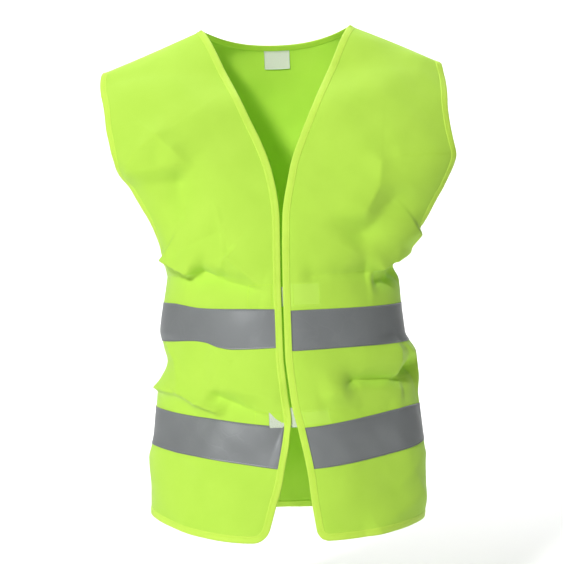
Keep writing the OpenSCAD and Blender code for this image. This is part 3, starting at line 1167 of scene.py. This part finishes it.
@dataclass
class ClothPanels:
    """The three cuts of knitted cloth."""

    wardrobe: Wardrobe
    thickness: float = 0.5 * MM

    def build(self) -> dict[Part, bpy.types.Object]:
        """Makes the back and both fronts and returns them by part.

        Returns:
            The three pieces, by part.
        """
        made = {}
        for part in Part:
            nodes = ("back_panel",) if part is Part.BACK else (
                f"{part.value}_front_strap", f"{part.value}_front_panel")
            name = f"{part.value}_cloth"
            piece = dress(self.panel(name, part), self.wardrobe.knit)
            RIDER.attach(piece, part, nodes)
            made[part] = piece
        return made

    def panel(self, name: str, part: Part) -> bpy.types.Object:
        """Makes one cut as a thin closed shell on the worn surface.

        Each point of the grid is the worn surface at (u, v), moved out and in by half of
        the thickness along the surface's own outward direction.

        Args:
            name: the piece's name.
            part: the cut of cloth.

        Returns:
            The new object.
        """
        across, down = PANEL_GRID[part]
        low = -1.0 if part is Part.BACK else 0.0
        u, v = np.meshgrid(np.linspace(low, 1, across), np.linspace(0, HEM_ROW, down))
        p, _, _, out = DRAPES[part].axes(u, v)
        uv = np.stack([self.run(p, 1), -self.run(p, 0)], -1)
        half = self.thickness / 2
        piece = shell(name, p + out * half, p - out * half, uv, flip=part is not Part.LEFT)
        backing = self.backing(part, u, v).ravel()
        layer = piece.data.attributes.new("backing", "FLOAT", "POINT")
        layer.data.foreach_set("value", np.concatenate([backing, backing]).astype(np.float32))
        return piece

    def backing(self, part: Part, u: np.ndarray, v: np.ndarray) -> np.ndarray:
        """Returns 1 where a pale pad behind the left front shows through it, 0 elsewhere.

        Args:
            part: the cut of cloth.
            u: across the cloth, 0 to 1, or from -1 on the back.
            v: down the cloth, 0 at the shoulder and HEM_ROW at the hem.

        Returns:
            A share from 0 to 1 at each point.
        """
        shown = np.zeros_like(u)
        if part is Part.LEFT:
            for top, bottom in PATCH_ROWS:
                rows = ease((v - top) / 0.03) * ease((bottom - v) / 0.03)
                shown = np.maximum(shown, rows * ease((PATCH_SHARE - u) / 0.012))
        return shown

    def run(self, p: np.ndarray, axis: int) -> np.ndarray:
        """Returns the metres of cloth run along one axis of a grid of points.

        Args:
            p: a grid of points.
            axis: 0 down or 1 across.

        Returns:
            Metres at each point.
        """
        steps = np.linalg.norm(np.diff(p, axis=axis), axis=-1)
        start = np.zeros_like(np.take(steps, [0], axis))
        return np.concatenate([start, np.cumsum(steps, axis)], axis)


BINDING_PROFILE = (
    (-1.2, 0.28), (-0.9, 0.62), (0.2, 0.72), (1.6, 0.55), (3.0, 0.74),
    (5.0, 0.80), (6.8, 0.78), (7.6, 0.56), (8.0, 0.0),
)
BINDING_STITCH = (1.6 * MM, 0.62 * MM)


@dataclass
class Bindings:
    """The folded strips round the neck, front edges, hem and armholes."""

    wardrobe: Wardrobe
    step: float = 2.5 * MM

    def profile(self) -> np.ndarray:
        """Returns the strip's cross-section as (across, height) pairs, upper side first.

        Across runs from the inner border to the fold, and the height is that of two thin
        layers, pressed in along the stitch line and rounded at the fold.

        Returns:
            The pairs, round the section.
        """
        across, height = np.array(BINDING_PROFILE).T * MM
        upper = np.stack([across, height], -1)
        lower = np.stack([across[-2::-1], -height[-2::-1]], -1)
        return np.concatenate([upper, lower])

    def sweep(self, name: str, path: Track) -> bpy.types.Object:
        """Carries the cross-section along a track.

        Args:
            name: the piece's name.
            path: the edge's track.

        Returns:
            The new object.
        """
        fine = path.at(self.step)
        return tube(name, *swept(fine, self.profile()), closed_ends=not fine.loop)

    def build(self) -> dict[str, tuple[Part, Track]]:
        """Makes every binding and returns the tracks that their stitches follow.

        Returns:
            The part and track of each binding, by name.
        """
        tracks = {}
        for part in (Part.LEFT, Part.RIGHT):
            side = part.value
            path = self.opening(part)
            piece = dress(self.sweep(f"{side}_opening_binding", path), self.wardrobe.binding)
            nodes = (f"{side}_strap_neck_binding", f"{side}_front_edge_binding", f"{side}_hem_binding")
            RIDER.attach(piece, part, nodes)
            tracks[f"{side}_opening"] = (part, path)
            hole = self.armhole(part)
            piece = dress(self.sweep(f"{side}_armhole_edge", hole), self.wardrobe.binding)
            nodes = (f"{side}_armhole_binding", f"{side}_front_armhole_binding")
            RIDER.attach(piece, part, nodes)
            tracks[f"{side}_armhole"] = (part, hole)
        neck = (Part.BACK, np.linspace(-NECK_SHARE, NECK_SHARE, 60), np.zeros(60))
        hem = (Part.BACK, np.linspace(-1, 1, 120), np.full(120, float(HEM_ROW)))
        back = {"back_neck": track([neck]), "back_hem": track([hem], flip=True)}
        for name, path in back.items():
            piece = dress(self.sweep(f"{name}_edge", path), self.wardrobe.binding)
            RIDER.attach(piece, Part.BACK, (f"{name}_binding",))
            tracks[name] = (Part.BACK, path)
        return tracks

    def opening(self, part: Part) -> Track:
        """Returns the track from the shoulder down the front edge and round to the side.

        Args:
            part: the front.

        Returns:
            The track.
        """
        down = (part, np.zeros(500), np.linspace(0, HEM_ROW, 500))
        across = (part, np.linspace(0, 1, 200)[1:], np.full(199, float(HEM_ROW)))
        return track([down, across], flip=part is Part.RIGHT)

    def armhole(self, part: Part) -> Track:
        """Returns the closed track up the front of an armhole and down its back.

        Args:
            part: the front beside it.

        Returns:
            The track.
        """
        mirror = 1.0 if part is Part.LEFT else -1.0
        v = np.linspace(0, UNDERARM_ROW, 130)
        front = (part, np.ones(129), v[::-1][:-1])
        back = (Part.BACK, np.full(129, mirror), v[:-1])
        return track([front, back], loop=True, flip=part is Part.RIGHT)


@dataclass(frozen=True)
class BandShape:
    """The upper and lower edge of one length of band, as (u, v) places along it."""

    top: tuple[Pair, ...]
    bottom: tuple[Pair, ...]

    def edges(self, u: np.ndarray) -> tuple[np.ndarray, np.ndarray]:
        """Returns v of the upper and the lower edge at u, each as a smooth line.

        Args:
            u: across the cloth.

        Returns:
            v of the upper edge, then of the lower.
        """
        found = []
        for edge in (self.top, self.bottom):
            table = np.array(edge)
            place = np.interp(u, table[:, 0], np.arange(len(table)))
            found.append(through(table[:, 1:], place)[..., 0])
        return found[0], found[1]


BAND_SHAPES = {
    ("upper", Part.RIGHT): BandShape(
        ((0, 6.515), (0.32, 6.49), (0.47, 6.47), (0.74, 6.39), (1, 6.38)),
        ((0, 7.045), (0.28, 7.06), (0.36, 7.03), (0.46, 6.95), (0.54, 6.93), (0.74, 6.95), (1, 6.97)),
    ),
    ("upper", Part.LEFT): BandShape(
        ((0, 6.54), (0.34, 6.53), (0.68, 6.51), (1, 6.49)),
        ((0, 7.1), (0.34, 7.09), (0.68, 7.1), (1, 7.1)),
    ),
    ("upper", Part.BACK): BandShape(
        ((-1, 6.38), (-0.5, 6.44), (0, 6.45), (0.5, 6.46), (1, 6.49)),
        ((-1, 6.97), (-0.5, 7.04), (0, 7.06), (0.5, 7.07), (1, 7.1)),
    ),
    ("lower", Part.RIGHT): BandShape(
        ((0, 8.25), (0.3, 8.22), (0.5, 8.2), (1, 8.2)),
        ((0, 8.93), (0.3, 8.86), (0.5, 8.83), (1, 8.82)),
    ),
    ("lower", Part.LEFT): BandShape(
        ((0, 8.28), (0.39, 8.25), (0.62, 8.25), (1, 8.31)),
        ((0, 8.945), (0.39, 8.915), (0.62, 8.9), (1, 8.87)),
    ),
    ("lower", Part.BACK): BandShape(
        ((-1, 8.2), (-0.5, 8.26), (0, 8.28), (0.5, 8.28), (1, 8.31)),
        ((-1, 8.82), (-0.5, 8.9), (0, 8.92), (0.5, 8.91), (1, 8.87)),
    ),
}


@dataclass
class Bands:
    """The two horizontal reflective bands, each in three lengths."""

    wardrobe: Wardrobe
    gap: float = 0.3 * MM
    thickness: float = 0.25 * MM

    def build(self) -> dict[str, tuple[Part, BandShape]]:
        """Makes the six lengths and returns where each lies.

        Returns:
            The part and shape of each length, by name.
        """
        made = {}
        for (level, part), shape in BAND_SHAPES.items():
            name = f"{level}_{part.value}"
            piece = dress(self.length(f"{name}_band", part, shape), self.wardrobe.tape)
            RIDER.attach(piece, part, (f"{name}_tape",))
            made[name] = (part, shape)
        return made

    def length(self, name: str, part: Part, shape: BandShape) -> bpy.types.Object:
        """Makes one length as a thin shell held just outside the worn cloth.

        Args:
            name: the piece's name.
            part: the cut of cloth beneath.
            shape: where its edges lie.

        Returns:
            The new object.
        """
        across = 160 if part is Part.BACK else 90
        low = -1.0 if part is Part.BACK else 0.004
        u, t = np.meshgrid(np.linspace(low, 1, across), np.linspace(0, 1, 24))
        top, bottom = shape.edges(u)
        v = top + (bottom - top) * t
        p, _, _, out = DRAPES[part].axes(u, v)
        base = 0.25 * MM + self.gap
        uv = np.stack([u * 0.19, -v * 0.08], -1)
        outer = p + out * (base + self.thickness)
        return shell(name, outer, p + out * base, uv, flip=part is not Part.LEFT)


@dataclass
class Stitching:
    """Every row of stitches, as small thread capsules."""

    wardrobe: Wardrobe
    pitch: float = 3.3 * MM
    length: float = 2.5 * MM
    radius: float = 0.26 * MM
    sides: int = 5
    inset: float = 0.028
    tape_lift: float = 0.8 * MM

    def row(self, name: str, path: Track, across: float, lift: float) -> bpy.types.Object:
        """Makes one row of stitches beside a track.

        A stitch is four rings along its length. Its middle arches up by a cosine, and its
        radius shrinks towards both ends.

        Args:
            name: the piece's name.
            path: the track beside which it runs.
            across: how far from the track.
            lift: how far out from the cloth.

        Returns:
            The new object.
        """
        beads = path.at(self.pitch, across, lift)
        t = np.array((-0.5, -0.28, 0.28, 0.5))
        size = np.array((0.35, 1.0, 1.0, 0.35)) * self.radius
        arch = np.cos(t * math.pi) * self.radius * 0.8
        angle = np.arange(self.sides) * 2 * math.pi / self.sides
        centre = (
            beads.points[:, None]
            + beads.along[:, None] * (t * self.length)[None, :, None]
            + beads.out[:, None] * arch[None, :, None]
        )
        round_ = (
            beads.side[:, None, None] * np.cos(angle)[None, None, :, None]
            + beads.out[:, None, None] * np.sin(angle)[None, None, :, None]
        )
        points = centre[:, :, None] + round_ * size[None, :, None, None]
        count, rings = points.shape[0], len(t)
        quads = grid_faces(rings, self.sides, closed=True)
        block = rings * self.sides
        first = np.arange(self.sides)
        offsets = (np.arange(count) * block)[:, None, None]
        faces = (quads[None] + offsets).reshape(-1, 4)
        start = (first[None] + offsets[:, 0]).reshape(-1, self.sides)
        end = (first[::-1][None] + (rings - 1) * self.sides + offsets[:, 0]).reshape(-1, self.sides)
        piece = add_mesh(name, points.reshape(-1, 3), [faces, start, end])
        return face_outward(piece)

    def build(
        self, edges: dict[str, tuple[Part, Track]], bands: dict[str, tuple[Part, BandShape]]
    ) -> int:
        """Sews the bindings and the bands, and returns how many rows were made.

        Args:
            edges: the bindings' parts and tracks.
            bands: the bands' parts and shapes.

        Returns:
            How many rows were made.
        """
        rows = 0
        for name, (part, path) in edges.items():
            across, lift = BINDING_STITCH
            for label, height in (("stitches", lift), ("stitches_inside", -lift)):
                piece = dress(self.row(f"{name}_{label}", path, across, height), self.wardrobe.thread)
                RIDER.attach(piece, part, ())
                rows += 1
        for name, (part, shape) in bands.items():
            low = -0.995 if part is Part.BACK else 0.02
            u = np.linspace(low, 0.995, 160)
            top, bottom = shape.edges(u)
            for edge, v in (("top", top + self.inset), ("bottom", bottom - self.inset)):
                path = track([(part, u, v)])
                piece = self.row(f"{name}_{edge}_stitches", path, 0, self.tape_lift)
                RIDER.attach(dress(piece, self.wardrobe.grey_thread), part, ())
                rows += 1
        return rows


@dataclass
class Seams:
    """The overlocked side seams and shoulder seams."""

    wardrobe: Wardrobe
    radius: float = 0.9 * MM
    allowance: float = 6 * MM

    def build(self) -> None:
        """Makes a ridge outside and a sewn allowance inside for each seam."""
        for part in (Part.LEFT, Part.RIGHT):
            side = part.value
            runs = {
                "side": (np.ones(160), np.linspace(UNDERARM_ROW, HEM_ROW, 160)),
                "shoulder": (np.linspace(0, 1, 50), np.zeros(50)),
            }
            for kind, (u, v) in runs.items():
                path = self.seam_track(part, u, v, kind)
                ridge = dress(self.ridge(f"{side}_{kind}_ridge", path), self.wardrobe.knit)
                RIDER.attach(ridge, Part.BACK, (f"{side}_{kind}_seam",))
                flap = dress(self.flap(f"{side}_{kind}_allowance", path), self.wardrobe.knit)
                RIDER.attach(flap, Part.BACK, ())
                sewing = Stitching(self.wardrobe, pitch=2.6 * MM, length=2.1 * MM)
                piece = sewing.row(f"{side}_{kind}_overlock", path.at(2 * MM), 0, -5.6 * MM)
                RIDER.attach(dress(piece, self.wardrobe.thread), Part.BACK, ())

    def seam_track(self, part: Part, u: np.ndarray, v: np.ndarray, kind: str) -> Track:
        """Returns the seam's line, with its outward direction midway between its cloths.

        Args:
            part: the front beside it.
            u: places across that front.
            v: places down it.
            kind: side or shoulder.

        Returns:
            The track.
        """
        p, _, _, out = DRAPES[part].axes(u, v)
        mirror = 1 if part is Part.LEFT else -1
        if kind == "side":
            q, _, _, out_back = DRAPES[Part.BACK].axes(u * mirror, v)
        else:
            q, _, _, out_back = DRAPES[Part.BACK].axes((NECK_SHARE + u * (1 - NECK_SHARE)) * mirror, v)
        out = unit(out + out_back)
        middle = (p + q) / 2
        along = unit(np.gradient(middle, axis=0))
        return Track(middle, along, unit(np.cross(along, out)), out)

    def ridge(self, name: str, path: Track) -> bpy.types.Object:
        """Carries a low half-round ridge along the seam, pinched in at its middle.

        Args:
            name: the piece's name.
            path: the seam's track.

        Returns:
            The new object.
        """
        fine = path.at(2.5 * MM)
        angle = np.arange(12) * math.pi / 6
        across = np.cos(angle) * 1.5 * self.radius
        height = np.sin(angle) * 0.45 * self.radius - 0.35 * self.radius * (np.abs(np.cos(angle)) < 0.3)
        shape = np.stack([across, height], -1)
        return tube(name, *swept(fine, shape))

    def flap(self, name: str, path: Track) -> bpy.types.Object:
        """Makes the two raw edges sewn together, standing inward from the seam.

        Args:
            name: the piece's name.
            path: the seam's track.

        Returns:
            The new object.
        """
        fine = path.at(3 * MM)
        depth = np.linspace(0.2 * MM, self.allowance, 5)
        wave = np.sin(measured(fine.points) * 210) * 0.35 * MM
        lean = wave[:, None] * (depth / self.allowance)[None]
        base = fine.points[:, None] - fine.out[:, None] * depth[None, :, None]
        base = base + fine.side[:, None] * lean[..., None]
        half = fine.side[:, None] * 0.5 * MM
        run = np.repeat(measured(fine.points)[:, None], 5, 1)
        uv = np.stack([run, np.repeat(depth[None], len(base), 0)], -1)
        return face_outward(shell(name, base + half, base - half, uv, flip=False))


@dataclass
class Closures:
    """Hook tabs behind the left front and loop patches behind the right one."""

    wardrobe: Wardrobe
    hook_thickness: float = 1.2 * MM
    loop_thickness: float = 1.0 * MM
    behind: float = 0.35 * MM

    def build(self) -> None:
        """Makes both closures."""
        for level, rows in zip(("upper", "lower"), PATCH_ROWS):
            anchor = self.patch(f"{level}_hook_base", Part.LEFT, rows, self.hook_thickness)
            dress(anchor, self.wardrobe.hook)
            RIDER.attach(anchor, Part.LEFT, (f"{level}_tab_anchor",))
            loop = self.patch(f"{level}_loop_pad", Part.RIGHT, rows, self.loop_thickness)
            dress(loop, self.wardrobe.loop)
            RIDER.attach(loop, Part.RIGHT, (f"{level}_loop_patch",))
            for part in (Part.LEFT, Part.RIGHT):
                self.outline(f"{part.value}_{level}_box_stitch", part, rows)
            self.tab(level)

    def patch(self, name: str, part: Part, rows: Pair, thickness: float) -> bpy.types.Object:
        """Makes a flat pad behind the cloth, with softened borders.

        The pad follows the worn surface. Its inner face dips towards the borders by the
        fourth power of the distance from its middle.

        Args:
            name: the piece's name.
            part: the front that carries it.
            rows: v of its upper and lower border.
            thickness: at its middle.

        Returns:
            The new object.
        """
        u, v = np.meshgrid(np.linspace(0.012, PATCH_SHARE, 24), np.linspace(*rows, 18))
        p, _, _, out = DRAPES[part].axes(u, v)
        a = np.linspace(-1, 1, 24)[None]
        b = np.linspace(-1, 1, 18)[:, None]
        soft = 1 - 0.5 * np.maximum(a**8, b**8)
        top = p - out * self.behind
        bottom = p - out * (self.behind + thickness * soft)[..., None]
        uv = np.stack([u * 0.19, v * 0.08], -1)
        return shell(name, top, bottom, uv, flip=part is not Part.LEFT)

    def outline(self, name: str, part: Part, rows: Pair) -> None:
        """Sews a box of stitches through the front, just inside a patch's outline.

        Args:
            name: the piece's name.
            part: the front that carries it.
            rows: v of the patch's borders.
        """
        u0, u1 = 0.022, PATCH_SHARE - 0.011
        v0, v1 = rows[0] + 0.03, rows[1] - 0.03
        corners = ((u0, v0), (u1, v0), (u1, v1), (u0, v1))
        legs = []
        for (ua, va), (ub, vb) in zip(corners, corners[1:] + corners[:1]):
            t = np.linspace(0, 1, 20)[:-1]
            legs.append((part, ua + (ub - ua) * t, va + (vb - va) * t))
        path = track(legs, loop=True)
        piece = Stitching(self.wardrobe).row(name, path, 0, 0.35 * MM)
        RIDER.attach(dress(piece, self.wardrobe.thread), part, ())

    def tab(self, level: str) -> None:
        """Makes the free end of a hook tab inside its node's box, with rounded corners.

        Args:
            level: upper or lower.
        """
        node = f"{level}_hook_tab"
        low, high = (np.array(c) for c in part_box(node))
        rows, columns = 20, 40
        s, t = np.meshgrid(np.linspace(0, 1, columns), np.linspace(-1, 1, rows))
        reach = 1 - 0.03 * np.maximum(0, np.abs(t) - 0.75) ** 2 * 16
        x = high[0] - (high[0] - low[0]) * s * reach
        lean = (high[1] - low[1] - 1.2 * MM) * s
        y = low[1] + 0.6 * MM + lean * 0.55
        z = (low[2] + high[2]) / 2 - t * (high[2] - low[2]) / 2
        middle = np.stack([x, y, z], -1)
        soft = 1 - 0.6 * np.maximum(np.abs(t) ** 10, s**14)
        out = np.array((0, -1, 0)) * (0.5 * MM * soft)[..., None]
        uv = np.stack([s * 0.035, t * 0.012], -1)
        piece = face_outward(shell(f"{level}_hook_end", middle + out, middle - out, uv, flip=True))
        dress(piece, self.wardrobe.hook)
        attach(piece, f"{level}_tab")
        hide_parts(node)


@dataclass
class NeckLabel:
    """The blank label inside the back of the neck."""

    wardrobe: Wardrobe
    half_width: float = 17 * MM
    rows: Pair = (0.05, 0.6)

    def across(self, v: np.ndarray) -> np.ndarray:
        """Returns u at the label's border on each row, so that it hangs as a rectangle."""
        small = np.full_like(v, 0.05)
        return self.half_width * small / DRAPES[Part.BACK].flat(small, v)[..., 0]

    def build(self) -> None:
        """Makes the label as a thin strip that hangs just off the cloth."""
        share, v = np.meshgrid(np.linspace(-1, 1, 26), np.linspace(*self.rows, 22))
        u = share * self.across(v)
        p, _, _, out = DRAPES[Part.BACK].axes(u, v)
        sag = ease((v - self.rows[0]) / (self.rows[1] - self.rows[0])) * 1.2 * MM
        face = p - out * (0.4 * MM + sag)[..., None]
        uv = np.stack([u * 0.2, v * 0.05], -1)
        piece = shell("neck_label_cloth", face, face - out * 0.35 * MM, uv, flip=True)
        dress(piece, self.wardrobe.label)
        RIDER.attach(piece, Part.BACK, ("neck_label",))
        v = np.full(20, self.rows[0] + 0.04)
        path = track([(Part.BACK, np.linspace(-0.92, 0.92, 20) * self.across(v), v)])
        row = Stitching(self.wardrobe).row("neck_label_stitches", path, 0, -0.9 * MM)
        RIDER.attach(dress(row, self.wardrobe.label), Part.BACK, ())


# ---------------------------------------------------------------- studio


@dataclass
class Studio:
    """Floor, lights and camera."""

    wardrobe: Wardrobe
    eye: Triple = (-0.0035, -1.918, -0.267)
    target: Triple = (-0.0035, -0.118, -0.324)
    roll_degrees: float = 2.0
    lens: float = 95.0
    floor_height: float = -0.78
    wall_distance: float = 2.6
    bend: float = 0.5
    ambient: float = 0.06
    backdrop: float = 0.85

    def build(self) -> None:
        """Makes the floor, the lights and the camera."""
        self.sweep()
        self.light("key", (-3.1, -5.7, 3.5), 0.9, 430)
        self.light("wall_wash", (0.0, 1.5, 2.3), 2.6, 120, (0, 3.0, -0.5))
        self.surroundings()
        bpy.context.scene.view_settings.view_transform = "Standard"
        self.camera()

    def surroundings(self) -> None:
        """Makes the world pale where it is seen, and dim where it lights the vest."""
        world = bpy.data.worlds.new("studio")
        bpy.context.scene.world = world
        world.use_nodes = True
        backdrop = world.node_tree.nodes["Background"]
        backdrop.inputs[0].default_value = (1, 1, 1, 1)
        seen = world.node_tree.nodes.new("ShaderNodeMath")
        seen.operation = "MULTIPLY_ADD"
        seen.inputs[1].default_value, seen.inputs[2].default_value = self.backdrop, self.ambient
        path = world.node_tree.nodes.new("ShaderNodeLightPath")
        world.node_tree.links.new(path.outputs["Is Camera Ray"], seen.inputs[0])
        world.node_tree.links.new(seen.outputs[0], backdrop.inputs[1])

    def sweep(self) -> None:
        """Makes a floor that bends up into a wall: a flat run, a quarter circle, a rise."""
        angle = np.linspace(0, math.pi / 2, 24)
        back = self.wall_distance
        y = np.concatenate([[-3.0], back + self.bend * np.sin(angle), [back + self.bend]])
        z = np.concatenate([[0.0], self.bend * (1 - np.cos(angle)), [3.2]]) + self.floor_height
        x = np.array((-3.5, 3.5))
        points = np.stack([np.broadcast_to(x, (len(y), 2)), *(np.stack([a, a], 1) for a in (y, z))], -1)
        floor = add_mesh("studio_sweep", points.reshape(-1, 3), [grid_faces(len(y), 2, flip=True)])
        dress(floor, self.wardrobe.card)

    def light(self, name: str, place: Triple, size: float, power: float, aim: Triple = (0, 0, -0.32)) -> None:
        """Adds a square soft light.

        Args:
            name: its name.
            place: where it stands.
            size: its side.
            power: in watts.
            aim: the point it faces.
        """
        data = bpy.data.lights.new(name, "AREA")
        data.size, data.energy = size, power
        lamp = bpy.data.objects.new(name, data)
        bpy.context.scene.collection.objects.link(lamp)
        way = Vector(aim) - Vector(place)
        lamp.matrix_world = Matrix.Translation(place) @ way.to_track_quat("-Z", "Y").to_matrix().to_4x4()

    def camera(self) -> None:
        """Adds the camera, level but for a slight roll."""
        data = bpy.data.cameras.new("camera")
        data.lens, data.sensor_width = self.lens, 36
        camera = bpy.data.objects.new("camera", data)
        bpy.context.scene.collection.objects.link(camera)
        way = Vector(self.target) - Vector(self.eye)
        turn = way.to_track_quat("-Z", "Y").to_matrix().to_4x4()
        roll = Matrix.Rotation(-math.radians(self.roll_degrees), 4, "Z")
        camera.matrix_world = Matrix.Translation(self.eye) @ turn @ roll
        bpy.context.scene.camera = camera


def main() -> None:
    """Builds the studio, then the vest's sub-assemblies in order, and measures them."""
    logging.basicConfig(level=logging.INFO, format="%(name)s: %(message)s")
    wardrobe = Wardrobe()
    Studio(wardrobe).build()
    LOG.info("studio built")
    panels = ClothPanels(wardrobe).build()
    LOG.info("cloth: %s", ", ".join(p.name for p in panels.values()))
    edges = Bindings(wardrobe).build()
    LOG.info("bindings: %s", ", ".join(edges))
    bands = Bands(wardrobe).build()
    LOG.info("bands: %s", ", ".join(bands))
    Seams(wardrobe).build()
    LOG.info("seams built")
    Closures(wardrobe).build()
    LOG.info("closures built")
    NeckLabel(wardrobe).build()
    LOG.info("label built")
    rows = Stitching(wardrobe).build(edges, bands)
    LOG.info("stitching: %d rows", rows)
    for part, piece in panels.items():
        area = area_of(piece) / 2
        LOG.info("%s: %.4f m2 of cloth", piece.name, area)


if __name__ == "__main__":
    main()
